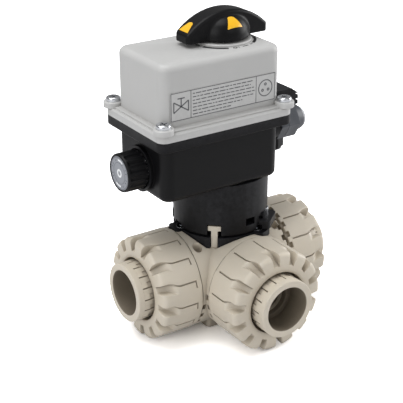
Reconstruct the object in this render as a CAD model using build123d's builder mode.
from build123d import *
import os
from math import acos, atan2, cos, degrees, pi, radians, sin, sqrt, tan

# Motorized three-way union ball valve.
# Origin: centre of the foot face, below the crossing of the port axes and the stem axis.
# +Z up along the stem, run ports on -X and +X, branch port on -Y.
# All lengths in millimetres. Names ending in _Z are heights above the port axes.
# Overlaps of 0.1 to 1 mm between stacked features make them fuse into one solid;
# cuts that run out of the material are simply made long enough.

os.makedirs("parts", exist_ok=True)

# ---------------------------------------------------------------- valve dimensions
AXIS_HEIGHT = 37.0      # port axes above the foot face
FOOT_Z = -AXIS_HEIGHT

PIPE_R = 15.75          # socket for a 32 mm pipe
FLOW_R = 12.5           # full bore, DN 25
CONNECTOR_R = 20.0      # outside of the socket
CONNECTOR_END = 79.0    # socket mouth, measured from the valve centre
SOCKET_LENGTH = 18.0
SEAL_FACE = 54.0        # sealing face between body and end connector
ARM_R = 35.5            # body arms
ARM_END = 36.0
COLLAR_END = 37.8       # arms with a collar reach further
THREAD_R = 30.0         # male thread on the body, a plain cylinder
RIM_TEETH = 28          # castellations on arms and nuts

NUT_R = 36.0
NUT_BACK = 38.2
NUT_FRONT = 68.5
NUT_OPENING_R = 22.2
NUT_LOBES = 14

BALL_R = 21.9
CHAMBER_R = 22.3
CHAMBER_END = 25.2      # from the valve centre, along each port
SEAT_R = 16.4           # outside of the ball seats
SEAT_BACK = 20.2        # back face of the ball seats
SEAT_BORE_R = 12.8
SEAT_START = 16.5       # edge of the ball seats nearest the centre
CARRIER_R = 25.0

STEM_R = 7.0
STEM_COLLAR_R = 9.0
STEM_SQUARE = 9.8
TOWER_R = 13.0
STEM_GROOVES_Z = (31.0, 37.0)
INSERT_CENTRES = ((-12.5, 0), (12.5, 0))
INSERT_R = 4.0

# ---------------------------------------------------------------- mounting dimensions
PLATE_Z = 28.0          # base plate underside
PLATE_TOP_Z = 36.0
PLATE_R = 33.0
NECK_Z = PLATE_TOP_Z + 1.2
NECK_LUG_TOP_Z = PLATE_TOP_Z + 6.8
NECK_SHOULDER_Z = 48.0  # the neck bore widens here
NECK_FLANGE_Z = 68.0    # underside of the ISO 5211 F05 flange
NECK_TOP_Z = 74.0
NECK_R = 32.7
BOLT_CIRCLE_R = 50.0 / 2    # F05
POST_ANGLES = (48, 228)
MODULE_ANGLES = (140, 320)
MODULE_SCREW_R = 30.0
TIE_ANGLES = (172, 292)
TIE_BOLT_R = 29.6
TIE_HEAD_Z = PLATE_TOP_Z - 3.2
WINDOW_ANGLES = (94, 274)

# ---------------------------------------------------------------- actuator dimensions
HOUSING_X0, HOUSING_X1 = -65.0, 25.5
HOUSING_Y0, HOUSING_Y1 = -32.5, 27.0
HOUSING_LENGTH = HOUSING_X1 - HOUSING_X0
HOUSING_WIDTH = HOUSING_Y1 - HOUSING_Y0
HOUSING_CENTRE = ((HOUSING_X0 + HOUSING_X1) / 2, (HOUSING_Y0 + HOUSING_Y1) / 2)
FLANGE_LENGTH = HOUSING_LENGTH + 12.0       # parting flange stands out 6 mm all round
FLANGE_WIDTH = HOUSING_WIDTH + 12.0
FLANGE_CORNER_R = 6.0
COVER_X0, COVER_X1 = -65.0, 26.0
COVER_Y0, COVER_Y1 = -31.5, 27.0
COVER_LENGTH = COVER_X1 - COVER_X0
COVER_WIDTH = COVER_Y1 - COVER_Y0
COVER_CENTRE = ((COVER_X0 + COVER_X1) / 2, (COVER_Y0 + COVER_Y1) / 2)
WALL = 3.0
FLOOR_Z = 80.0
FLANGE_Z = 111.8
SPLIT_Z = 118.6
COVER_BOSS_TOP_Z = SPLIT_Z + 8.8
COVER_TOP_Z = 165.0
COVER_SCREWS = ((-66.3, -33.8), (26.8, -33.8), (26.8, 28.7), (-66.3, 28.7))

# centre line of the gasket groove, its depth and half its width
GROOVE_LENGTH, GROOVE_WIDTH, GROOVE_CORNER_R = 90.0, 59.0, 7.2
GROOVE_DEPTH = 1.6
GROOVE_HALF = 1.0

GEAR_POSTS = ((-57.5, -25.0), (-57.5, 19.5), (18.0, -25.0), (18.0, 19.5))
GEAR_PLATE_Z = 104.0
GEAR_PLATE_TOP_Z = 106.5
BOARD_Z = 110.0
BUSH_BORE_R = 14.0      # output bearing bore in the housing
SHAFT_R = 5.0           # slim upper part of the output shaft

# Centres on side planes: (y, height above the port axes)
HAND_AXIS = (-4.0, 90.5)
HAND_SHAFT_R = 3.0
HAND_BUSH_R = 5.0
HAND_SEAT_X = HOUSING_X0 + 4.5      # bottom of the sunk handwheel seat
GLAND_AXIS = (-15.0, 105.0)
GLAND_BOSS_END = HOUSING_X1 + 6.2
DIN_Y = 7.0
DIN_CENTRE = (DIN_Y, 99.5)
DIN_SCREW = (DIN_Y, 109.5)

# Gear train: output gear on the stem axis, stepped intermediate gear, motor pinion
OUTPUT_MODULE, OUTPUT_TEETH, PINION_TEETH = 1.0, 40, 12
MOTOR_MODULE, WHEEL_TEETH, MOTOR_TEETH = 0.6, 45, 12
GEAR_SLACK = 0.08
OUTPUT_SPACING = OUTPUT_MODULE * (OUTPUT_TEETH + PINION_TEETH) / 2 + GEAR_SLACK
MOTOR_SPACING = MOTOR_MODULE * (WHEEL_TEETH + MOTOR_TEETH) / 2 + GEAR_SLACK
AXLE_Y = HAND_AXIS[0]
AXLE_X = -sqrt(OUTPUT_SPACING ** 2 - AXLE_Y ** 2)
MOTOR_X = AXLE_X - MOTOR_SPACING
AXLE = (AXLE_X, AXLE_Y)
MOTOR = (MOTOR_X, AXLE_Y)
MOTOR_SCREWS = ((MOTOR_X, AXLE_Y - 10.5), (MOTOR_X, AXLE_Y + 10.5))
AXLE_R = 2.0
AXLE_CLEARANCE_R = 2.05
OUTPUT_MESH = degrees(atan2(AXLE_Y, AXLE_X))    # direction of the axle from the stem
MOTOR_MESH = 180.0                              # direction of the motor from the axle

LEFT, RIGHT = Vector(-1, 0, 0), Vector(1, 0, 0)
BRANCH, BLIND = Vector(0, -1, 0), Vector(0, 1, 0)
PORTS = (LEFT, RIGHT, BRANCH)
UP = Vector(0, 0, 1)
STEM_AXIS = (0, 0)


# ================================================================ helpers
def level(z):
    """Horizontal plane at height z above the port axes."""
    return Plane.XY.offset(z + AXIS_HEIGHT)


def side_plane(x):
    """Plane facing +X at x: local x is +Y, local y is the height above the port axes."""
    return Plane(origin=(x, 0, AXIS_HEIGHT), x_dir=(0, 1, 0), z_dir=(1, 0, 0))


def front_plane(y):
    """Plane facing -Y at y: local x is +X, local y is the height above the port axes."""
    return Plane(origin=(0, y, AXIS_HEIGHT), x_dir=(1, 0, 0), z_dir=(0, -1, 0))


def port_section(direction):
    """Plane through a port axis: local x runs out of the port, local y is +Z."""
    return Plane(origin=(0, 0, AXIS_HEIGHT), x_dir=direction, z_dir=direction.cross(UP))


def port_face(direction, distance):
    """Plane square to a port axis, normal pointing out, local y is +Z."""
    return Plane(
        origin=direction * distance + UP * AXIS_HEIGHT,
        x_dir=UP.cross(direction),
        z_dir=direction,
    )


def port_axis(direction):
    return Axis((0, 0, AXIS_HEIGHT), tuple(direction))


def polar_points(radius, angles):
    return [(radius * cos(radians(angle)), radius * sin(radians(angle))) for angle in angles]


def polar_frames(radius, angles):
    """Locations on a circle, each with its local x pointing outwards."""
    return [
        Location((x, y, 0), (0, 0, angle))
        for (x, y), angle in zip(polar_points(radius, angles), angles)
    ]


def save(piece, name):
    piece.part.label = name
    export_step(piece.part, f"parts/{name}.step")


def save_round_piece(name, plane_at, centres, *steps):
    """Discs or rings extruded from plane_at(start) at each centre.

    Each step is (start, outer radius, bore radius or 0, length).
    """
    with BuildPart() as piece:
        for start, outer, bore, length in steps:
            with BuildSketch(plane_at(start)):
                with Locations(*centres):
                    Circle(outer)
                    if bore:
                        Circle(bore, mode=Mode.SUBTRACT)
            extrude(amount=length)
    save(piece, name)


def gear_points(teeth, module):
    """Involute outline, 20 degree pressure angle, a tooth on local +x."""
    steps = 4
    pressure_angle = radians(20)
    pitch_r = module * teeth / 2
    base_r = pitch_r * cos(pressure_angle)
    tip_r = pitch_r + 0.75 * module
    root_r = pitch_r - 1.15 * module
    involute_at_pitch = tan(pressure_angle) - pressure_angle
    half_tooth = 0.46 * pi / teeth      # a little under a quarter pitch, for backlash

    def half_angle(radius):
        if radius <= base_r:
            return half_tooth + involute_at_pitch
        roll = acos(base_r / radius)
        return half_tooth + involute_at_pitch - (tan(roll) - roll)

    start_r = max(base_r, root_r)
    flank = [start_r + (tip_r - start_r) * i / steps for i in range(steps + 1)]
    tooth = [(radius, -half_angle(radius)) for radius in flank]
    tooth += [(radius, half_angle(radius)) for radius in reversed(flank)]
    if root_r < base_r:
        root_angle = half_angle(base_r)
        tooth = [(root_r, -root_angle)] + tooth + [(root_r, root_angle)]
    return [
        (radius * cos(2 * pi * k / teeth + angle), radius * sin(2 * pi * k / teeth + angle))
        for k in range(teeth)
        for radius, angle in tooth
    ]


# ================================================================ valve body
# Castellated rims: (port, arm end, tooth numbers counted around the port).
# All round on the right arm, the lower part on the two others.
BODY_RIMS = (
    (RIGHT, ARM_END, range(RIM_TEETH)),
    (LEFT, COLLAR_END, range(15, 28)),
    (BRANCH, COLLAR_END, range(14, 28)),
)

with BuildPart() as valve_body:
    # run and branch arms, then the smaller threaded ends
    for radius, end in ((ARM_R, ARM_END), (THREAD_R, SEAL_FACE)):
        with BuildSketch(port_face(LEFT, end)):
            Circle(radius)
        extrude(amount=-2 * end)
        with BuildSketch(port_face(BRANCH, end)):
            Circle(radius)
        extrude(amount=-end)
    # arm collars that close up to the left and branch nuts
    for direction in (LEFT, BRANCH):
        with BuildSketch(port_face(direction, COLLAR_END)):
            Circle(ARM_R)
        extrude(amount=-3.0)
    for direction, end, teeth in BODY_RIMS:
        with BuildSketch(port_face(direction, end - 2.4)):
            with Locations(*polar_frames(ARM_R - 1.2, [360 * k / RIM_TEETH for k in teeth])):
                Rectangle(4.4, 4.0)
        extrude(amount=6, mode=Mode.SUBTRACT)
    # foot pad
    with BuildSketch(level(FOOT_Z)):
        RectangleRounded(46, 38, 3)
    extrude(amount=12)
    # round seat for the base plate
    with BuildSketch(level(PLATE_Z)):
        Circle(PLATE_R + 0.75)
    extrude(amount=12, mode=Mode.SUBTRACT)
    # pockets for the base plate's two loops
    with BuildSketch(level(PLATE_Z + 3.4)):
        with Locations(*polar_frames(31.8, TIE_ANGLES)):
            RectangleRounded(13.4, 14.6, 3.8)
    extrude(amount=12, mode=Mode.SUBTRACT)
    # stem tower and two T-headed corner posts
    with BuildSketch(level(PLATE_Z - 2)):
        Circle(TOWER_R)
    extrude(amount=20)
    for start, width, height in ((PLATE_Z - 4, 4.4, 20.0), (PLATE_Z + 12.5, 9.0, 3.5)):
        with BuildSketch(level(start)):
            with Locations(*polar_frames(27.6, POST_ANGLES)):
                Rectangle(7.4, width)
        extrude(amount=height)
    # short upright ribs in the corners between the arms
    with BuildSketch(level(-4)):
        with Locations((-27, -27), (27, -27)):
            Circle(5.2)
    extrude(amount=8)
    # ball chamber
    with BuildSketch(port_face(LEFT, CHAMBER_END)):
        Circle(CHAMBER_R)
    extrude(amount=-2 * CHAMBER_END, mode=Mode.SUBTRACT)
    with BuildSketch(port_face(BRANCH, CHAMBER_END)):
        Circle(CHAMBER_R)
    extrude(amount=-CHAMBER_END, mode=Mode.SUBTRACT)
    # carrier bores
    for direction in PORTS:
        with BuildSketch(port_face(direction, CHAMBER_END)):
            Circle(CARRIER_R + 0.05)
        extrude(amount=40, mode=Mode.SUBTRACT)
    # blind seat pocket opposite the branch
    with BuildSketch(front_plane(0)):
        Circle(SEAT_R + 0.05)
    extrude(amount=-(SEAT_BACK + 0.05), mode=Mode.SUBTRACT)
    # stem bore and thrust collar pocket
    with BuildSketch(level(15)):
        Circle(STEM_R + 0.05)
    extrude(amount=50, mode=Mode.SUBTRACT)
    with BuildSketch(level(15)):
        Circle(STEM_COLLAR_R + 0.1)
    extrude(amount=10.4, mode=Mode.SUBTRACT)
    # foot insert pockets
    with BuildSketch(level(FOOT_Z)):
        with Locations(*INSERT_CENTRES):
            Circle(INSERT_R)
    extrude(amount=10, mode=Mode.SUBTRACT)
    # locking-pawl holes beside the run nuts
    with BuildSketch(level(25.5)):
        with Locations((-32.2, -19.3), (32.2, -19.3)):
            Circle(3.3)
    extrude(amount=12, mode=Mode.SUBTRACT)
    # tie bolt holes
    with BuildSketch(level(25.5)):
        with Locations(*polar_points(TIE_BOLT_R, TIE_ANGLES)):
            Circle(1.9)
    extrude(amount=6, mode=Mode.SUBTRACT)
    # module screw holes
    with BuildSketch(level(21.4)):
        with Locations(*polar_points(MODULE_SCREW_R, MODULE_ANGLES)):
            Circle(1.9)
    extrude(amount=10, mode=Mode.SUBTRACT)
save(valve_body, "valve_body")

# ================================================================ ball, seats and stem
with BuildPart() as ball:
    with Locations((0, 0, AXIS_HEIGHT)):
        Sphere(BALL_R)
    # T-shaped flow passage
    with BuildSketch(port_face(LEFT, 30)):
        Circle(FLOW_R)
    extrude(amount=-60, mode=Mode.SUBTRACT)
    with BuildSketch(front_plane(0)):
        Circle(FLOW_R)
    extrude(amount=30, mode=Mode.SUBTRACT)
    # slot for the stem blade
    with BuildSketch(level(17.4)):
        Rectangle(40, 8)
    extrude(amount=8, mode=Mode.SUBTRACT)
save(ball, "ball")

# the seat face is an arc just clear of the ball
SEAT_FACE_R = BALL_R + 0.03


def seat_face_point(distance):
    return (distance, sqrt(SEAT_FACE_R ** 2 - distance ** 2))


SEAT_LIP = sqrt(SEAT_FACE_R ** 2 - SEAT_BORE_R ** 2)

with BuildPart() as ball_seats:
    for direction in (*PORTS, BLIND):
        with BuildSketch(port_section(direction)):
            with BuildLine():
                Polyline(
                    seat_face_point(SEAT_START),
                    (SEAT_START, SEAT_R),
                    (SEAT_BACK, SEAT_R),
                    (SEAT_BACK, SEAT_BORE_R),
                    (SEAT_LIP, SEAT_BORE_R),
                )
                ThreePointArc(
                    (SEAT_LIP, SEAT_BORE_R),
                    seat_face_point((SEAT_START + SEAT_LIP) / 2),
                    seat_face_point(SEAT_START),
                )
            make_face()
        revolve(axis=port_axis(direction))
save(ball_seats, "ball_seats")

# (distance from the valve centre, radius)
CARRIER_PROFILE = (
    (SEAT_BACK + 0.05, FLOW_R), (SEAT_BACK + 0.05, 19.9),
    (CHAMBER_END + 0.05, 19.9), (CHAMBER_END + 0.05, CARRIER_R),
    (SEAL_FACE - 0.1, CARRIER_R), (SEAL_FACE - 0.1, 20.0),
    (47.0, 20.0), (44.0, FLOW_R),
)

with BuildPart() as seat_carriers:
    for direction in PORTS:
        with BuildSketch(port_section(direction)):
            with BuildLine():
                Polyline(*CARRIER_PROFILE, close=True)
            make_face()
        revolve(axis=port_axis(direction))
save(seat_carriers, "seat_carriers")

with BuildPart() as stem:
    # blade in the ball slot, thrust collar, round stem, drive square
    with BuildSketch(level(17.5)):
        Rectangle(16, 7.8)
    extrude(amount=4.9)
    with BuildSketch(level(22.35)):
        Circle(STEM_COLLAR_R)
    extrude(amount=3.0)
    with BuildSketch(level(25.3)):
        Circle(STEM_R)
    extrude(amount=18.7)
    with BuildSketch(level(44)):
        Rectangle(STEM_SQUARE, STEM_SQUARE)
    extrude(amount=22)
    for z in STEM_GROOVES_Z:
        with BuildSketch(level(z)):
            Circle(STEM_R + 1)
            Circle(5.6, mode=Mode.SUBTRACT)
        extrude(amount=2.2, mode=Mode.SUBTRACT)
save(stem, "stem")

save_round_piece(
    "stem_orings", level, [STEM_AXIS],
    *[(z + 0.05, STEM_R, 5.62, 2.1) for z in STEM_GROOVES_Z],
)

# ================================================================ end connectors and nuts
SOCKET_FLOOR = CONNECTOR_END - SOCKET_LENGTH

# (distance from the valve centre, radius): O-ring groove, collar, socket outside, socket
CONNECTOR_PROFILE = (
    (SEAL_FACE, FLOW_R), (SEAL_FACE, 21.0),
    (SEAL_FACE + 1.8, 21.0), (SEAL_FACE + 1.8, 24.0),
    (SEAL_FACE, 24.0), (SEAL_FACE, 28.5),
    (59.3, 28.5), (59.3, CONNECTOR_R + 0.6),
    (74.8, CONNECTOR_R + 0.2), (75.0, CONNECTOR_R),
    (CONNECTOR_END - 0.6, CONNECTOR_R), (CONNECTOR_END, CONNECTOR_R - 0.6),
    (CONNECTOR_END, PIPE_R + 0.4), (CONNECTOR_END - 0.4, PIPE_R),
    (SOCKET_FLOOR, PIPE_R), (SOCKET_FLOOR, FLOW_R),
)

# (distance from the valve centre, radius)
NUT_PROFILE = (
    (NUT_BACK, THREAD_R + 0.08), (NUT_BACK, NUT_R - 0.8), (NUT_BACK + 0.8, NUT_R),
    (65.8, NUT_R), (67.2, 35.4), (68.1, 34.4), (NUT_FRONT, 32.8),
    (NUT_FRONT, NUT_OPENING_R), (59.4, NUT_OPENING_R), (59.4, THREAD_R + 0.08),
)

# Steps of the finger pockets: (start, floor radius, width)
POCKET_STEPS = (
    (58.2, 35.3, 7.6),
    (60.0, 33.4, 7.3),
    (61.6, 31.4, 7.0),
    (63.4, 29.4, 6.7),
    (65.4, 27.8, 6.4),
)
POCKET_OUTER_R = 37.0


def end_connector(direction, spline_angle):
    with BuildPart() as piece:
        with BuildSketch(port_section(direction)):
            with BuildLine():
                Polyline(*CONNECTOR_PROFILE, close=True)
            make_face()
        revolve(axis=port_axis(direction))
        # grip splines around the socket
        with BuildSketch(port_face(direction, 60.5)):
            with PolarLocations(CONNECTOR_R + 0.3, 16, start_angle=spline_angle):
                Rectangle(1.8, 0.9)
        extrude(amount=14.0, mode=Mode.SUBTRACT)
    return piece


def union_nut(direction, groove_angle, pocket_offset, castellated):
    """groove_angle places the first groove; pocket_offset turns the pockets from it."""
    with BuildPart() as piece:
        with BuildSketch(port_section(direction)):
            with BuildLine():
                Polyline(*NUT_PROFILE, close=True)
            make_face()
        revolve(axis=port_axis(direction))
        # finger pockets between the lobes, stepped down to the front ring
        for start, floor_r, width in POCKET_STEPS:
            with BuildSketch(port_face(direction, start)):
                with PolarLocations(
                    (floor_r + POCKET_OUTER_R) / 2,
                    NUT_LOBES,
                    start_angle=groove_angle + pocket_offset,
                ):
                    Rectangle(POCKET_OUTER_R - floor_r, width)
            extrude(amount=12, mode=Mode.SUBTRACT)
        # fine grooves along the barrel
        with BuildSketch(port_face(direction, 42.0)):
            with PolarLocations(35.7, NUT_LOBES, start_angle=groove_angle):
                Rectangle(1.6, 0.9)
        extrude(amount=15.6, mode=Mode.SUBTRACT)
        # notches around the back edge
        if castellated:
            with BuildSketch(port_face(direction, NUT_BACK - 1)):
                with PolarLocations(34.8, RIM_TEETH, start_angle=groove_angle + 5.0):
                    Rectangle(4.4, 4.2)
            extrude(amount=4.0, mode=Mode.SUBTRACT)
    return piece


# (port name, direction, spline angle, nut groove angle, pocket offset, castellated)
UNIONS = (
    ("left", LEFT, 6.0, -4.0, -1.6, False),
    ("right", RIGHT, 12.0, 17.2, 2.2, True),
    ("branch", BRANCH, 19.0, 16.5, 2.2, False),
)
for port, direction, spline_angle, groove_angle, pocket_offset, castellated in UNIONS:
    save(end_connector(direction, spline_angle), f"end_connector_{port}")
    nut = union_nut(direction, groove_angle, pocket_offset, castellated)
    save(nut, f"union_nut_{port}")

with BuildPart() as face_orings:
    for direction in PORTS:
        with BuildSketch(port_section(direction)):
            with Locations((SEAL_FACE + 0.88, 22.5)):
                RectangleRounded(1.7, 2.8, 0.6)
        revolve(axis=port_axis(direction))
save(face_orings, "face_orings")

save_round_piece("foot_inserts", level, INSERT_CENTRES, (FOOT_Z, INSERT_R, 2.55, 9.6))

# ================================================================ mounting
with BuildPart() as base_plate:
    with BuildSketch(level(PLATE_Z)):
        Circle(PLATE_R)
        Circle(TOWER_R + 0.2, mode=Mode.SUBTRACT)
        with Locations(*polar_frames(29.4, POST_ANGLES)):
            Rectangle(12.0, 5.6, mode=Mode.SUBTRACT)
    extrude(amount=PLATE_TOP_Z - PLATE_Z)
    # loops that stick out at the two tie bolts
    with BuildSketch(level(PLATE_Z + 3.6)):
        with Locations(*polar_frames(31.4, TIE_ANGLES)):
            RectangleRounded(12.6, 14.0, 3.5)
    extrude(amount=PLATE_TOP_Z - PLATE_Z - 3.6)
    # tie bolt head recesses
    with BuildSketch(level(TIE_HEAD_Z)):
        with Locations(*polar_points(TIE_BOLT_R, TIE_ANGLES)):
            Circle(4.6)
    extrude(amount=4, mode=Mode.SUBTRACT)
    # screw and bolt holes
    with BuildSketch(level(PLATE_Z - 1)):
        with Locations(*polar_points(MODULE_SCREW_R, MODULE_ANGLES)):
            Circle(2.2)
        with Locations(*polar_points(TIE_BOLT_R, TIE_ANGLES)):
            Circle(2.7)
    extrude(amount=20, mode=Mode.SUBTRACT)
save(base_plate, "base_plate")

with BuildPart() as mounting_module:
    # round neck with the flange on top
    with BuildSketch(level(NECK_Z)):
        Circle(NECK_R)
    extrude(amount=NECK_TOP_Z - NECK_Z)
    fillet(mounting_module.edges().group_by(Axis.Z)[0], 0.8)
    # two lugs at the foot of the neck
    with BuildSketch(level(NECK_Z)):
        with Locations(Location((*polar_points(31.6, [307])[0], 0), (0, 0, 310))):
            RectangleRounded(13.0, 20.0, 3.0)
        with Locations(*polar_frames(29.2, [140])):
            RectangleRounded(8.4, 10.0, 1.5)
    extrude(amount=NECK_LUG_TOP_Z - NECK_Z)
    # stepped inside of the neck, up to the flange
    for start, radius in ((PLATE_TOP_Z, 25.6), (NECK_SHOULDER_Z, 29.0)):
        with BuildSketch(level(start)):
            Circle(radius)
        extrude(amount=NECK_FLANGE_Z - start, mode=Mode.SUBTRACT)
    # centre opening and bolt holes of the flange
    with BuildSketch(level(NECK_SHOULDER_Z)):
        Circle(17.5)
    extrude(amount=30, mode=Mode.SUBTRACT)
    with BuildSketch(level(60)):
        with PolarLocations(BOLT_CIRCLE_R, 4, start_angle=45):
            Circle(3.2)
    extrude(amount=20, mode=Mode.SUBTRACT)
    # slots over the corner posts
    with BuildSketch(level(PLATE_TOP_Z)):
        with Locations(*polar_frames(29.6, POST_ANGLES)):
            Rectangle(13.0, 9.8)
    extrude(amount=9.6, mode=Mode.SUBTRACT)
    # side windows and the open recesses over the lugs
    with BuildSketch(level(NECK_LUG_TOP_Z)):
        with Locations(*polar_frames(31.0, WINDOW_ANGLES)):
            Rectangle(16.0, 7.6)
        with Locations(*polar_frames(31.0, MODULE_ANGLES)):
            Rectangle(16.0, 11.0)
        with Locations(*polar_frames(35.0, [302])):
            Rectangle(12.0, 15.0)
    extrude(amount=NECK_SHOULDER_Z - NECK_LUG_TOP_Z, mode=Mode.SUBTRACT)
    # screw holes and one more hole in the larger lug
    with BuildSketch(level(PLATE_TOP_Z)):
        with Locations(*polar_points(MODULE_SCREW_R, MODULE_ANGLES)):
            Circle(2.2)
        with Locations(*polar_points(30.5, [299])):
            Circle(2.1)
    extrude(amount=8, mode=Mode.SUBTRACT)
    # room above the tie bolt heads
    with BuildSketch(level(PLATE_TOP_Z)):
        with Locations(*polar_points(TIE_BOLT_R, TIE_ANGLES)):
            Circle(5.2)
    extrude(amount=4.0, mode=Mode.SUBTRACT)
save(mounting_module, "mounting_module")

# Socket head screws: (centres, shank bottom, head seat, head radius)
SOCKET_SCREWS = (
    (polar_points(MODULE_SCREW_R, MODULE_ANGLES), 21.6, NECK_LUG_TOP_Z, 3.6),
    (polar_points(TIE_BOLT_R, TIE_ANGLES), 25.6, TIE_HEAD_Z, 4.3),
)

with BuildPart() as module_screws:
    for centres, bottom, seat, head_r in SOCKET_SCREWS:
        with BuildSketch(level(bottom)):
            with Locations(*centres):
                Circle(1.85)
        extrude(amount=seat - bottom + 0.1)
        with BuildSketch(level(seat)):
            with Locations(*centres):
                Circle(head_r)
        extrude(amount=3.4)
        with BuildSketch(level(seat + 1.6)):
            with Locations(*centres):
                RegularPolygon(1.9, 6)
        extrude(amount=3.0, mode=Mode.SUBTRACT)
save(module_screws, "module_screws")

# bush that joins the stem square to the output shaft
with BuildPart() as drive_bush:
    with BuildSketch(level(50)):
        Circle(11.0)
    extrude(amount=23.4)
    with BuildSketch(level(73)):
        Rectangle(13.9, 13.9)
    extrude(amount=11.8)
    with BuildSketch(level(50)):
        Rectangle(STEM_SQUARE + 0.06, STEM_SQUARE + 0.06)
    extrude(amount=16.4, mode=Mode.SUBTRACT)
save(drive_bush, "drive_bush")

BOLT_HEAD_HEIGHT = 6.0

with BuildPart() as flange_bolts:
    with BuildSketch(level(NECK_FLANGE_Z - BOLT_HEAD_HEIGHT)):
        with PolarLocations(BOLT_CIRCLE_R, 4, start_angle=45):
            RegularPolygon(5.0, 6, major_radius=False)
    extrude(amount=BOLT_HEAD_HEIGHT)
    # outer side of each head trimmed clear of the neck wall
    with BuildSketch(level(NECK_FLANGE_Z - BOLT_HEAD_HEIGHT)):
        Circle(40)
        Circle(28.9, mode=Mode.SUBTRACT)
    extrude(amount=BOLT_HEAD_HEIGHT, mode=Mode.SUBTRACT)
    with BuildSketch(level(NECK_FLANGE_Z - 0.1)):
        with PolarLocations(BOLT_CIRCLE_R, 4, start_angle=45):
            Circle(2.95)
    extrude(amount=15.4)
save(flange_bolts, "flange_bolts")

# ================================================================ actuator shells
FLANGE_EDGE_HEIGHT = FLANGE_Z + AXIS_HEIGHT     # flange underside above the foot face

with BuildPart() as lower_housing:
    with BuildSketch(level(NECK_TOP_Z)):
        with Locations(HOUSING_CENTRE):
            RectangleRounded(HOUSING_LENGTH, HOUSING_WIDTH, 7.5)
    extrude(amount=FLANGE_Z - NECK_TOP_Z + 1)
    fillet(lower_housing.faces().sort_by(Axis.Z)[0].edges(), 4.0)
    with BuildSketch(level(FLANGE_Z)):
        with Locations(HOUSING_CENTRE):
            RectangleRounded(FLANGE_LENGTH, FLANGE_WIDTH, FLANGE_CORNER_R)
    extrude(amount=SPLIT_Z - FLANGE_Z)
    # longest edges of the flange underside
    fillet(
        lower_housing.edges()
        .filter_by_position(Axis.Z, FLANGE_EDGE_HEIGHT - 0.01, FLANGE_EDGE_HEIGHT + 0.01)
        .group_by(SortBy.LENGTH)[-1],
        0.8,
    )
    # gear case
    with BuildSketch(level(FLOOR_Z)):
        with Locations(HOUSING_CENTRE):
            RectangleRounded(HOUSING_LENGTH - 2 * WALL, HOUSING_WIDTH - 2 * WALL, 4.5)
    extrude(amount=60, mode=Mode.SUBTRACT)
    # output bearing boss, bolt bosses and gear plate posts
    with BuildSketch(level(FLOOR_Z - 1)):
        Circle(15.6)
        with PolarLocations(BOLT_CIRCLE_R, 4, start_angle=45):
            Circle(5.5)
    extrude(amount=6.0)
    with BuildSketch(level(FLOOR_Z - 1)):
        with Locations(*GEAR_POSTS):
            Circle(3.6)
    extrude(amount=GEAR_PLATE_Z - FLOOR_Z + 1)
    # hand drive: boss inside the wall, raised ring outside, sunk seat, bush hole
    with BuildSketch(side_plane(HOUSING_X0 + 1)):
        with Locations(HAND_AXIS):
            Circle(15.0)
    extrude(amount=7.0)
    with BuildSketch(side_plane(HOUSING_X0 + 1)):
        with Locations(HAND_AXIS):
            Circle(15.4)
    extrude(amount=-3.6)
    with BuildSketch(side_plane(HAND_SEAT_X - 8.5)):
        with Locations(HAND_AXIS):
            Circle(13.5)
    extrude(amount=8.5, mode=Mode.SUBTRACT)
    with BuildSketch(side_plane(HOUSING_X0 - 1)):
        with Locations(HAND_AXIS):
            Circle(HAND_BUSH_R)
    extrude(amount=20, mode=Mode.SUBTRACT)
    # cable entry boss
    with BuildSketch(side_plane(HOUSING_X1 - 1)):
        with Locations(GLAND_AXIS):
            Circle(10.5)
    extrude(amount=GLAND_BOSS_END - HOUSING_X1 + 1)
    with BuildSketch(side_plane(HOUSING_X1 - 10)):
        with Locations(GLAND_AXIS):
            Circle(8.0)
    extrude(amount=30, mode=Mode.SUBTRACT)
    # plug connector wire opening
    with BuildSketch(side_plane(HOUSING_X1 - 10)):
        with Locations((DIN_Y, 100.0)):
            Circle(6.0)
    extrude(amount=20, mode=Mode.SUBTRACT)
    # output bearing bore, flange bolt holes, axle hole, gear plate screw holes
    with BuildSketch(level(60)):
        Circle(BUSH_BORE_R)
    extrude(amount=40, mode=Mode.SUBTRACT)
    with BuildSketch(level(70)):
        with PolarLocations(BOLT_CIRCLE_R, 4, start_angle=45):
            Circle(3.0)
    extrude(amount=13.4, mode=Mode.SUBTRACT)
    with BuildSketch(level(77)):
        with Locations(AXLE):
            Circle(AXLE_R)
    extrude(amount=10, mode=Mode.SUBTRACT)
    with BuildSketch(level(94)):
        with Locations(*GEAR_POSTS):
            Circle(1.6)
    extrude(amount=12, mode=Mode.SUBTRACT)
    # gasket groove and cover screw holes
    with BuildSketch(level(SPLIT_Z - GROOVE_DEPTH)):
        with Locations(HOUSING_CENTRE):
            for offset, mode in ((GROOVE_HALF, Mode.ADD), (-GROOVE_HALF, Mode.SUBTRACT)):
                RectangleRounded(
                    GROOVE_LENGTH + 2 * offset,
                    GROOVE_WIDTH + 2 * offset,
                    GROOVE_CORNER_R + offset,
                    mode=mode,
                )
    extrude(amount=3, mode=Mode.SUBTRACT)
    with BuildSketch(level(FLANGE_Z + 0.7)):
        with Locations(*COVER_SCREWS):
            Circle(2.0)
    extrude(amount=10, mode=Mode.SUBTRACT)
save(lower_housing, "lower_housing")

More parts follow.
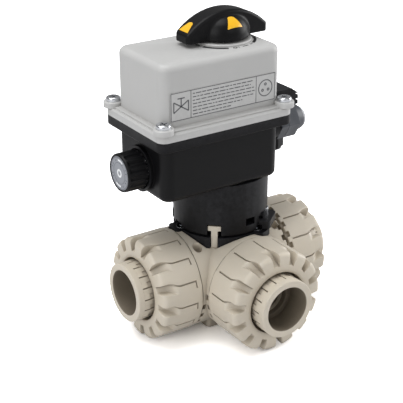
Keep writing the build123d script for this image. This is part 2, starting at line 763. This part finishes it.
with BuildPart() as cover:
    # flange
    with BuildSketch(level(SPLIT_Z)):
        with Locations(HOUSING_CENTRE):
            RectangleRounded(FLANGE_LENGTH, FLANGE_WIDTH, FLANGE_CORNER_R)
    extrude(amount=5.2)
    chamfer(cover.faces().sort_by(Axis.Z)[-1].edges(), 0.9)
    # raised step inside the flange edge
    with BuildSketch(level(SPLIT_Z + 5)):
        with Locations(HOUSING_CENTRE):
            RectangleRounded(FLANGE_LENGTH - 5.0, FLANGE_WIDTH - 5.0, 4.5)
    extrude(amount=1.4)
    chamfer(cover.faces().sort_by(Axis.Z)[-1].edges(), 0.5)
    # screw bosses
    with BuildSketch(level(SPLIT_Z + 5)):
        with Locations(*COVER_SCREWS):
            Circle(6.6)
    extrude(amount=COVER_BOSS_TOP_Z - SPLIT_Z - 5)
    chamfer(cover.faces().sort_by(Axis.Z)[-4:].edges(), 0.5)
    # bell
    with BuildPart(mode=Mode.PRIVATE) as bell:
        with BuildSketch(level(SPLIT_Z)):
            with Locations(COVER_CENTRE):
                RectangleRounded(COVER_LENGTH, COVER_WIDTH, 8.0)
        extrude(amount=COVER_TOP_Z - SPLIT_Z)
        fillet(bell.faces().sort_by(Axis.Z)[-1].edges(), 4.5)
    add(bell.part)
    with BuildSketch(level(SPLIT_Z)):
        with Locations(COVER_CENTRE):
            RectangleRounded(COVER_LENGTH - 2 * WALL, COVER_WIDTH - 2 * WALL, 5.0)
    extrude(amount=COVER_TOP_Z - SPLIT_Z - WALL, mode=Mode.SUBTRACT)
    # shaft hole and screw holes
    with BuildSketch(level(SPLIT_Z + 20)):
        Circle(6.2)
    extrude(amount=60, mode=Mode.SUBTRACT)
    with BuildSketch(level(SPLIT_Z - 1)):
        with Locations(*COVER_SCREWS):
            Circle(2.2)
    extrude(amount=20, mode=Mode.SUBTRACT)
save(cover, "cover")

GASKET_HALF = GROOVE_HALF - 0.1

with BuildPart() as cover_gasket:
    with BuildSketch(level(SPLIT_Z - GROOVE_DEPTH)):
        with Locations(HOUSING_CENTRE):
            for offset, mode in ((GASKET_HALF, Mode.ADD), (-GASKET_HALF, Mode.SUBTRACT)):
                RectangleRounded(
                    GROOVE_LENGTH + 2 * offset,
                    GROOVE_WIDTH + 2 * offset,
                    GROOVE_CORNER_R + offset,
                    mode=mode,
                )
    extrude(amount=GROOVE_DEPTH)
save(cover_gasket, "cover_gasket")

with BuildPart() as cover_screws:
    with BuildSketch(level(COVER_BOSS_TOP_Z)):
        with Locations(*COVER_SCREWS):
            Circle(4.8)
    extrude(amount=2.8)
    fillet(cover_screws.edges().group_by(Axis.Z)[-1], 1.2)
    with BuildSketch(level(FLANGE_Z + 1.0)):
        with Locations(*COVER_SCREWS):
            Circle(1.95)
    extrude(amount=COVER_BOSS_TOP_Z - FLANGE_Z - 0.9)
    # cross slots
    with BuildSketch(level(COVER_BOSS_TOP_Z + 1.0)):
        with Locations(*COVER_SCREWS):
            Rectangle(5.4, 1.1)
            Rectangle(1.1, 5.4)
    extrude(amount=3, mode=Mode.SUBTRACT)
save(cover_screws, "cover_screws")

with BuildPart() as dial_ring:
    with BuildSketch(level(COVER_TOP_Z)):
        Circle(19.6)
        Circle(7.0, mode=Mode.SUBTRACT)
    extrude(amount=1.5)
    # outer top edge
    chamfer(dial_ring.edges().group_by(Axis.Z)[-1].sort_by(SortBy.LENGTH)[-1], 0.6)
save(dial_ring, "dial_ring")

save_round_piece("shaft_seal", level, [STEM_AXIS], (COVER_TOP_Z - 2.6, 6.15, 5.05, 2.2))

with BuildPart() as label_plate:
    with BuildSketch(front_plane(COVER_Y0)):
        with Locations((-19.65, 138.3)):
            RectangleRounded(80.3, 18.6, 0.6)
    extrude(amount=0.25)
save(label_plate, "label_plate")

# ================================================================ position knob
KNOB_Z = 167.6
BAR_Z = KNOB_Z + 0.6
BAR_HALF = 31.6         # half the length of the knob bar
BAR_END_Z = 172.8       # top of the bar at its ends
HUB_R = 17.6
HUB_TOP_Z = 184.0

# Wedge outlines on top of the knob, one towards each port: (x, y)
MARKERS = (
    ((-28.6, -4.2), (-28.6, 4.2), (-22.0, 2.2), (-22.0, -2.2)),
    ((28.6, -4.2), (22.0, -2.2), (22.0, 2.2), (28.6, 4.2)),
    ((-4.4, -15.4), (4.4, -15.4), (1.6, -9.4), (-1.6, -9.4)),
)

with BuildPart() as knob_blank:
    # arched bar along X
    with BuildSketch(front_plane(0)):
        with BuildLine():
            ThreePointArc((-BAR_HALF, BAR_END_Z), (0.0, 186.0), (BAR_HALF, BAR_END_Z))
            Line((BAR_HALF, BAR_END_Z), (BAR_HALF, BAR_Z))
            Line((BAR_HALF, BAR_Z), (-BAR_HALF, BAR_Z))
            Line((-BAR_HALF, BAR_Z), (-BAR_HALF, BAR_END_Z))
        make_face()
    extrude(amount=8.0, both=True)
    fillet(knob_blank.edges().filter_by(GeomType.CIRCLE), 3.2)
    # round hub, cut away on +Y so that it swells towards the branch side only
    with BuildSketch(front_plane(0)):
        with BuildLine():
            Line((0, KNOB_Z), (HUB_R, KNOB_Z))
            Line((HUB_R, KNOB_Z), (HUB_R, KNOB_Z + 1.5))
            ThreePointArc((HUB_R, KNOB_Z + 1.5), (13.2, 179.0), (0, HUB_TOP_Z))
            Line((0, HUB_TOP_Z), (0, KNOB_Z))
        make_face()
    revolve(axis=Axis.Z)
    with BuildSketch(level(KNOB_Z)):
        with Locations((0, 14.5)):
            Rectangle(80, 13.0)
    extrude(amount=30, mode=Mode.SUBTRACT)

# inlays: the top 1 mm of the knob inside each marker outline
with BuildPart() as knob_markers:
    with BuildSketch(level(172)):
        for outline in MARKERS:
            with BuildLine():
                Polyline(*outline, close=True)
            make_face()
    extrude(amount=20)
    add(knob_blank.part, mode=Mode.INTERSECT)
    add(knob_blank.part.moved(Location((0, 0, -1.0))), mode=Mode.SUBTRACT)
save(knob_markers, "knob_markers")

with BuildPart() as indicator_knob:
    add(knob_blank.part)
    add(knob_markers.part, mode=Mode.SUBTRACT)
    # shaft hole
    with BuildSketch(level(KNOB_Z - 1)):
        Circle(4.0)
    extrude(amount=9.0, mode=Mode.SUBTRACT)
save(indicator_knob, "indicator_knob")

# ================================================================ drive train
save_round_piece(
    "shaft_bush", level, [STEM_AXIS],
    (NECK_TOP_Z + 0.3, BUSH_BORE_R - 0.05, 10.55, 10.7),
    (85.0, 16.5, 10.55, 1.4),
)

# Round lengths of the output shaft: (start height, radius, length)
SHAFT_STEPS = (
    (NECK_TOP_Z + 0.2, 10.5, 13.3),
    (87.4, 8.0, 10),
    (97.3, SHAFT_R, 63),
    (160.2, 3.95, 15.0),
)

with BuildPart() as output_shaft:
    for start, radius, length in SHAFT_STEPS:
        with BuildSketch(level(start)):
            Circle(radius)
        extrude(amount=length)
    # socket for the square of the drive bush
    with BuildSketch(level(70)):
        Rectangle(14.0, 14.0)
    extrude(amount=15.2, mode=Mode.SUBTRACT)
save(output_shaft, "output_shaft")

with BuildPart() as output_gear:
    with BuildSketch(level(88.0)):
        with Locations(Location((0, 0, 0), (0, 0, OUTPUT_MESH))):
            Polygon(*gear_points(OUTPUT_TEETH, OUTPUT_MODULE), align=None)
        Circle(8.0, mode=Mode.SUBTRACT)
    extrude(amount=6.0)
    # hub
    with BuildSketch(level(93.9)):
        Circle(11.5)
        Circle(8.0, mode=Mode.SUBTRACT)
    extrude(amount=3.0)
save(output_gear, "output_gear")

# The driving gears are turned half a tooth so that they mesh.
PINION_TURN = OUTPUT_MESH + 180 + 180 / PINION_TEETH
MOTOR_TURN = MOTOR_MESH + 180 + 180 / MOTOR_TEETH

with BuildPart() as intermediate_gear:
    with BuildSketch(level(85.8)):
        with Locations(Location((*AXLE, 0), (0, 0, PINION_TURN))):
            Polygon(*gear_points(PINION_TEETH, OUTPUT_MODULE), align=None)
    extrude(amount=12.4)
    with BuildSketch(level(98.2)):
        with Locations(Location((*AXLE, 0), (0, 0, MOTOR_MESH))):
            Polygon(*gear_points(WHEEL_TEETH, MOTOR_MODULE), align=None)
    extrude(amount=4.0)
    with BuildSketch(level(80)):
        with Locations(AXLE):
            Circle(AXLE_CLEARANCE_R)
    extrude(amount=30, mode=Mode.SUBTRACT)
save(intermediate_gear, "intermediate_gear")

with BuildPart() as bevel_gear:
    with BuildSketch(level(80.4)):
        with Locations(AXLE):
            Circle(10.0)
    extrude(amount=3.4, taper=12)
    # tooth gaps
    with BuildSketch(level(82.2)):
        with Locations(AXLE):
            with PolarLocations(9.2, 18):
                Rectangle(4.0, 1.4)
    extrude(amount=4, mode=Mode.SUBTRACT)
    # hub and axle hole
    with BuildSketch(level(83.7)):
        with Locations(AXLE):
            Circle(5.5)
    extrude(amount=2.1)
    with BuildSketch(level(80)):
        with Locations(AXLE):
            Circle(AXLE_CLEARANCE_R)
    extrude(amount=30, mode=Mode.SUBTRACT)
save(bevel_gear, "bevel_gear")

save_round_piece("intermediate_axle", level, [AXLE], (77.0, AXLE_R, 0, 30.2))

with BuildPart() as motor_pinion:
    with BuildSketch(level(97.8)):
        with Locations(Location((*MOTOR, 0), (0, 0, MOTOR_TURN))):
            Polygon(*gear_points(MOTOR_TEETH, MOTOR_MODULE), align=None)
    extrude(amount=5.0)
    with BuildSketch(level(102.7)):
        with Locations(MOTOR):
            Circle(1.5)
    extrude(amount=13)
save(motor_pinion, "motor_pinion")

# Holes in the gear plate: (centres, radius)
GEAR_PLATE_HOLES = (
    ([STEM_AXIS], 9.0),
    ([AXLE], AXLE_R),
    ([MOTOR], 5.0),
    (MOTOR_SCREWS, 1.6),
    (GEAR_POSTS, 1.8),
)

with BuildPart() as gear_plate:
    with BuildSketch(level(GEAR_PLATE_Z)):
        with Locations(HOUSING_CENTRE):
            RectangleRounded(82.5, 51.0, 4)
        for centres, radius in GEAR_PLATE_HOLES:
            with Locations(*centres):
                Circle(radius, mode=Mode.SUBTRACT)
        # room for the hand drive boss
        with Locations((-59.0, HAND_AXIS[0])):
            Rectangle(6.4, 20.0, mode=Mode.SUBTRACT)
    extrude(amount=GEAR_PLATE_TOP_Z - GEAR_PLATE_Z)
    # board pillars
    with BuildSketch(level(GEAR_PLATE_TOP_Z - 0.1)):
        with Locations((-20, -20), (-20, 18), (17, -18), (17, 12)):
            Circle(2.4)
    extrude(amount=BOARD_Z - GEAR_PLATE_TOP_Z + 0.1)
save(gear_plate, "gear_plate")

# Shank and head of the post screws, then of the two that hold the motor from below:
# (centres, start height, radius, length)
PLATE_SCREW_STEPS = (
    (GEAR_POSTS, 95, 1.55, 11.6),
    (GEAR_POSTS, GEAR_PLATE_TOP_Z, 2.7, 2.0),
    (MOTOR_SCREWS, GEAR_PLATE_Z, 1.5, 7.4),
    (MOTOR_SCREWS, GEAR_PLATE_Z - 2.0, 2.7, 2.0),
)

with BuildPart() as plate_screws:
    for centres, start, radius, length in PLATE_SCREW_STEPS:
        with BuildSketch(level(start)):
            with Locations(*centres):
                Circle(radius)
        extrude(amount=length)
save(plate_screws, "plate_screws")

save_round_piece(
    "upper_bush", level, [STEM_AXIS],
    (GEAR_PLATE_Z, 8.95, SHAFT_R + 0.05, GEAR_PLATE_TOP_Z - GEAR_PLATE_Z),
    (GEAR_PLATE_TOP_Z, 10.5, SHAFT_R + 0.05, 1.2),
)

with BuildPart() as motor:
    for start, radius, length in ((GEAR_PLATE_TOP_Z, 14.0, 10.0), (116.4, 12.6, 24.0)):
        with BuildSketch(level(start)):
            with Locations(MOTOR):
                Circle(radius)
        extrude(amount=length)
    # end boss and two terminals
    with BuildSketch(level(140.3)):
        with Locations(MOTOR):
            Circle(5.0)
        with Locations((MOTOR_X - 6, AXLE_Y + 6), (MOTOR_X + 6, AXLE_Y + 6)):
            Rectangle(2.8, 0.8)
    extrude(amount=3.0)
    # shaft and screw holes
    with BuildSketch(level(106)):
        with Locations(MOTOR):
            Circle(1.6)
    extrude(amount=11, mode=Mode.SUBTRACT)
    with BuildSketch(level(106)):
        with Locations(*MOTOR_SCREWS):
            Circle(1.55)
    extrude(amount=6, mode=Mode.SUBTRACT)
save(motor, "motor")

# ================================================================ switches and board
CAM_ANGLES = (200, 235, 110, 290)
CAM_PITCH = 4.6
CAM_LEVELS_Z = [114.0 + CAM_PITCH * i for i in range(len(CAM_ANGLES))]
CAM_TIP = 8.6
CAM_ROOT = 5.0
SWITCH_X = 2.0

with BuildPart() as cams:
    for z, angle in zip(CAM_LEVELS_Z, CAM_ANGLES):
        with BuildSketch(level(z)):
            Circle(7.6)
            with Locations(Location((0, 0, 0), (0, 0, angle))):
                with BuildLine():
                    Line((CAM_ROOT, -3.4), (CAM_TIP, -1.6))
                    Line((CAM_TIP, -1.6), (CAM_TIP, 1.6))
                    Line((CAM_TIP, 1.6), (CAM_ROOT, 3.4))
                    Line((CAM_ROOT, 3.4), (CAM_ROOT, -3.4))
                make_face()
            Circle(SHAFT_R, mode=Mode.SUBTRACT)
        extrude(amount=4.0)
save(cams, "cams")

with BuildPart() as microswitches:
    for z in CAM_LEVELS_Z:
        # case and plunger
        with BuildSketch(level(z - 0.1)):
            with Locations((SWITCH_X, 15.6)):
                RectangleRounded(19.6, 9.2, 0.8)
            with Locations((4.0, 10.0)):
                Rectangle(2.4, 2.2)
        extrude(amount=4.3)
save(microswitches, "microswitches")

with BuildPart() as switch_bracket:
    with BuildSketch(level(111.8)):
        with Locations((SWITCH_X, 21.0)):
            Rectangle(22.0, 1.4)
    extrude(amount=21)
    with BuildSketch(level(111.6)):
        with Locations((SWITCH_X, 15.2)):
            Rectangle(22.0, 13.0)
    extrude(amount=1.2)
save(switch_bracket, "switch_bracket")

BOARD_THICKNESS = 1.6

with BuildPart() as circuit_board:
    with BuildSketch(level(BOARD_Z)):
        with Locations((-2.0, -2.0)):
            RectangleRounded(43.0, 47.0, 1.5)
        Circle(11.0, mode=Mode.SUBTRACT)
    extrude(amount=BOARD_THICKNESS)
    # relays and driver package
    with BuildSketch(level(BOARD_Z + 1.5)):
        with Locations((-18.2, 12.0), (-18.2, -2.0)):
            Rectangle(8.0, 12.0)
    extrude(amount=10)
    with BuildSketch(level(BOARD_Z + 1.5)):
        with Locations((15.0, 1.0)):
            Rectangle(6.0, 8.0)
    extrude(amount=2.4)
save(circuit_board, "circuit_board")

TERMINAL_X = -1.0
TERMINAL_PITCH = 5.0
TERMINALS = 7

with BuildPart() as terminal_block:
    with BuildSketch(level(BOARD_Z + BOARD_THICKNESS)):
        with Locations((TERMINAL_X, -18.5)):
            Rectangle(36.0, 10.0)
    extrude(amount=9.0)
    # wire entries on the -Y face, screw wells on top
    with BuildSketch(front_plane(-21.4)):
        with GridLocations(TERMINAL_PITCH, 1, TERMINALS, 1):
            with Locations((TERMINAL_X, 115.0)):
                Rectangle(3.4, 3.4)
    extrude(amount=6.0, mode=Mode.SUBTRACT)
    with BuildSketch(level(118.0)):
        with Locations((TERMINAL_X, -17.4)):
            with GridLocations(TERMINAL_PITCH, 1, TERMINALS, 1):
                Circle(1.7)
    extrude(amount=6.0, mode=Mode.SUBTRACT)
save(terminal_block, "terminal_block")

# ================================================================ hand drive
HAND_R = 13.0
HAND_OUTER_X = -82.0
HAND_INNER_X = -67.4
HAND_SHAFT_X = -79.5    # outer end of the shaft
SPRING_WELL_X = -73.0   # bottom of the spring well
DISC_R = 11.3
DISC_THICKNESS = 0.6
PINION_X = -45.0

with BuildPart() as handwheel:
    with BuildSketch(side_plane(HAND_OUTER_X)):
        with Locations(HAND_AXIS):
            Circle(HAND_R)
    extrude(amount=HAND_INNER_X - HAND_OUTER_X)
    chamfer(handwheel.edges().filter_by(GeomType.CIRCLE), 0.5)
    # finger flutes
    with BuildSketch(side_plane(HAND_OUTER_X + 2.2)):
        with Locations(HAND_AXIS):
            with PolarLocations(HAND_R + 0.5, 16):
                Circle(1.3)
    extrude(amount=20, mode=Mode.SUBTRACT)
    # recess for the face disc, spring well, shaft hole: (start, radius, depth)
    for start, radius, depth in (
        (HAND_OUTER_X - 1, DISC_R + 0.1, 1 + DISC_THICKNESS),
        (SPRING_WELL_X, 8.2, 10),
        (HAND_SHAFT_X, HAND_SHAFT_R, 10),
    ):
        with BuildSketch(side_plane(start)):
            with Locations(HAND_AXIS):
                Circle(radius)
        extrude(amount=depth, mode=Mode.SUBTRACT)
save(handwheel, "handwheel")

# (name, start, outer radius, bore radius or 0, length)
HAND_ROUND_PIECES = (
    ("handwheel_disc", HAND_OUTER_X, DISC_R, 0, DISC_THICKNESS),
    ("handwheel_shaft", HAND_SHAFT_X, HAND_SHAFT_R, 0, 39.0),
    ("spring_washer", SPRING_WELL_X, 7.8, HAND_SHAFT_R + 0.1, 0.8),
    ("handwheel_bush", HAND_SEAT_X, HAND_BUSH_R, HAND_SHAFT_R + 0.05, 5.0),
)
for name, *step in HAND_ROUND_PIECES:
    save_round_piece(name, side_plane, [HAND_AXIS], step)

with BuildPart() as handwheel_pinion:
    with BuildSketch(side_plane(PINION_X)):
        with Locations(HAND_AXIS):
            Circle(5.4)
    extrude(amount=5.0, taper=10)
    # tooth gaps and shaft hole
    with BuildSketch(side_plane(PINION_X - 1)):
        with Locations(HAND_AXIS):
            with PolarLocations(5.6, 10):
                Rectangle(2.4, 1.3)
    extrude(amount=8, mode=Mode.SUBTRACT)
    with BuildSketch(side_plane(PINION_X - 1)):
        with Locations(HAND_AXIS):
            Circle(HAND_SHAFT_R)
    extrude(amount=10, mode=Mode.SUBTRACT)
save(handwheel_pinion, "handwheel_pinion")

with BuildPart() as handwheel_spring:
    with BuildLine() as coil:
        Helix(
            pitch=1.5,
            height=5.0,
            radius=6.4,
            center=(-66.9, HAND_AXIS[0], HAND_AXIS[1] + AXIS_HEIGHT),
            direction=(1, 0, 0),
        )
    with BuildSketch(Plane(origin=coil.line @ 0, z_dir=coil.line % 0)):
        Circle(0.45)
    sweep()
save(handwheel_spring, "handwheel_spring")

# ================================================================ cable gland
GLAND_HEX_R = 11.8

with BuildPart() as gland_body:
    with BuildSketch(side_plane(GLAND_BOSS_END)):
        with Locations(GLAND_AXIS):
            RegularPolygon(GLAND_HEX_R, 6)
    extrude(amount=6.0)
    with BuildSketch(side_plane(HOUSING_X1 - 3.0)):
        with Locations(GLAND_AXIS):
            Circle(7.95)
    extrude(amount=22.5)
    with BuildSketch(side_plane(HOUSING_X1 - 6)):
        with Locations(GLAND_AXIS):
            Circle(6.0)
    extrude(amount=40, mode=Mode.SUBTRACT)
save(gland_body, "gland_body")

with BuildPart() as gland_nut:
    with BuildSketch(side_plane(GLAND_BOSS_END + 6.3)):
        with Locations(GLAND_AXIS):
            RegularPolygon(GLAND_HEX_R, 6)
    extrude(amount=9.2)
    # tapered nose
    with BuildSketch(side_plane(GLAND_BOSS_END + 15.4)):
        with Locations(GLAND_AXIS):
            Circle(9.6)
    extrude(amount=6.0, taper=14)
    # room for the gland body, then the cable opening
    with BuildSketch(side_plane(GLAND_BOSS_END + 6.0)):
        with Locations(GLAND_AXIS):
            Circle(8.02)
    extrude(amount=8.0, mode=Mode.SUBTRACT)
    with BuildSketch(side_plane(GLAND_BOSS_END)):
        with Locations(GLAND_AXIS):
            Circle(5.6)
    extrude(amount=40, mode=Mode.SUBTRACT)
save(gland_nut, "gland_nut")

save_round_piece(
    "gland_seal", side_plane, [GLAND_AXIS], (GLAND_BOSS_END + 2.0, 5.95, 4.5, 11.0)
)

with BuildPart() as gland_cap:
    with BuildSketch(side_plane(GLAND_BOSS_END + 21.5)):
        with Locations(GLAND_AXIS):
            Circle(7.2)
    extrude(amount=2.6)
    chamfer(gland_cap.edges().group_by(Axis.X)[-1], 0.8)
    # plug through the seal
    with BuildSketch(side_plane(GLAND_BOSS_END + 4.0)):
        with Locations(GLAND_AXIS):
            Circle(4.45)
    extrude(amount=17.6)
save(gland_cap, "gland_cap")

# ================================================================ plug connector
DIN_GASKET_X = HOUSING_X1 + 8.0
DIN_FACE_X = DIN_GASKET_X + 1.2     # the connector starts here
DIN_HALF_WIDTH = 9.6
DIN_CABLE = (47.5, DIN_Y)           # vertical cable axis, (x, y)
DIN_SCREW_HEAD_X = 60.5
DIN_NECK_R = 7.0

# (x, height above the port axes)
DIN_OUTLINE = (
    (DIN_FACE_X, 87.5), (DIN_FACE_X, 120.0), (HOUSING_X1 + 13.0, 121.0), (58.0, 121.0),
    (63.5, 117.0), (63.5, 99.0), (57.0, 92.0), (56.0, 87.5),
)
DIN_GRIP_GROOVES = ((58.6, 119.5), (62.8, 116.2), (62.8, 112.2), (62.8, 108.2), (62.8, 104.2))

with BuildPart() as din_base:
    with BuildSketch(side_plane(HOUSING_X1)):
        with Locations(DIN_CENTRE):
            RectangleRounded(19.0, 23.0, 2.0)
            Circle(5.0, mode=Mode.SUBTRACT)
    extrude(amount=DIN_GASKET_X - HOUSING_X1)
save(din_base, "din_base")

with BuildPart() as din_gasket:
    with BuildSketch(side_plane(DIN_GASKET_X)):
        with Locations(DIN_CENTRE):
            RectangleRounded(19.6, 23.4, 2.0)
            Rectangle(12.0, 14.0, mode=Mode.SUBTRACT)
    extrude(amount=DIN_FACE_X - DIN_GASKET_X)
save(din_gasket, "din_gasket")

with BuildPart() as din_connector:
    with BuildSketch(front_plane(DIN_Y + DIN_HALF_WIDTH)):
        with BuildLine():
            Polyline(*DIN_OUTLINE, close=True)
        make_face()
    extrude(amount=2 * DIN_HALF_WIDTH)
    fillet(din_connector.edges().filter_by(Axis.Y), 1.0)
    # grip grooves on the outer end and the top
    with BuildSketch(front_plane(DIN_Y + 12)):
        with Locations(*DIN_GRIP_GROOVES):
            Rectangle(3.4, 1.3)
    extrude(amount=24, mode=Mode.SUBTRACT)
    # recess in the face towards the housing
    with BuildSketch(side_plane(DIN_FACE_X)):
        with Locations(DIN_CENTRE):
            Rectangle(11.0, 13.0)
    extrude(amount=8.0, mode=Mode.SUBTRACT)
    # fixing screw passage and its head recess
    with BuildSketch(side_plane(HOUSING_X1)):
        with Locations(DIN_SCREW):
            Circle(1.8)
    extrude(amount=60, mode=Mode.SUBTRACT)
    with BuildSketch(side_plane(DIN_SCREW_HEAD_X)):
        with Locations(DIN_SCREW):
            Circle(3.2)
    extrude(amount=10, mode=Mode.SUBTRACT)
    # cable neck below the block and its bore
    with BuildSketch(level(80)):
        with Locations(DIN_CABLE):
            Circle(DIN_NECK_R)
    extrude(amount=7.6)
    with BuildSketch(level(75)):
        with Locations(DIN_CABLE):
            Circle(4.6)
    extrude(amount=22, mode=Mode.SUBTRACT)
save(din_connector, "din_connector")

with BuildPart() as din_screw:
    with BuildSketch(side_plane(HOUSING_X1 + 9.4)):
        with Locations(DIN_SCREW):
            Circle(1.5)
    extrude(amount=25.7)
    with BuildSketch(side_plane(DIN_SCREW_HEAD_X)):
        with Locations(DIN_SCREW):
            Circle(2.9)
    extrude(amount=2.6)
    # driver slot
    with BuildSketch(side_plane(62.2)):
        with Locations(DIN_SCREW):
            Rectangle(0.8, 5.0)
    extrude(amount=3, mode=Mode.SUBTRACT)
save(din_screw, "din_screw")

with BuildPart() as din_cable_nut:
    with BuildSketch(level(78.6)):
        with Locations(DIN_CABLE):
            RegularPolygon(9.4, 8)
            Circle(DIN_NECK_R + 0.06, mode=Mode.SUBTRACT)
    extrude(amount=8.6)
    with BuildSketch(level(76.8)):
        with Locations(DIN_CABLE):
            Circle(8.0)
            Circle(4.8, mode=Mode.SUBTRACT)
    extrude(amount=1.9)
save(din_cable_nut, "din_cable_nut")
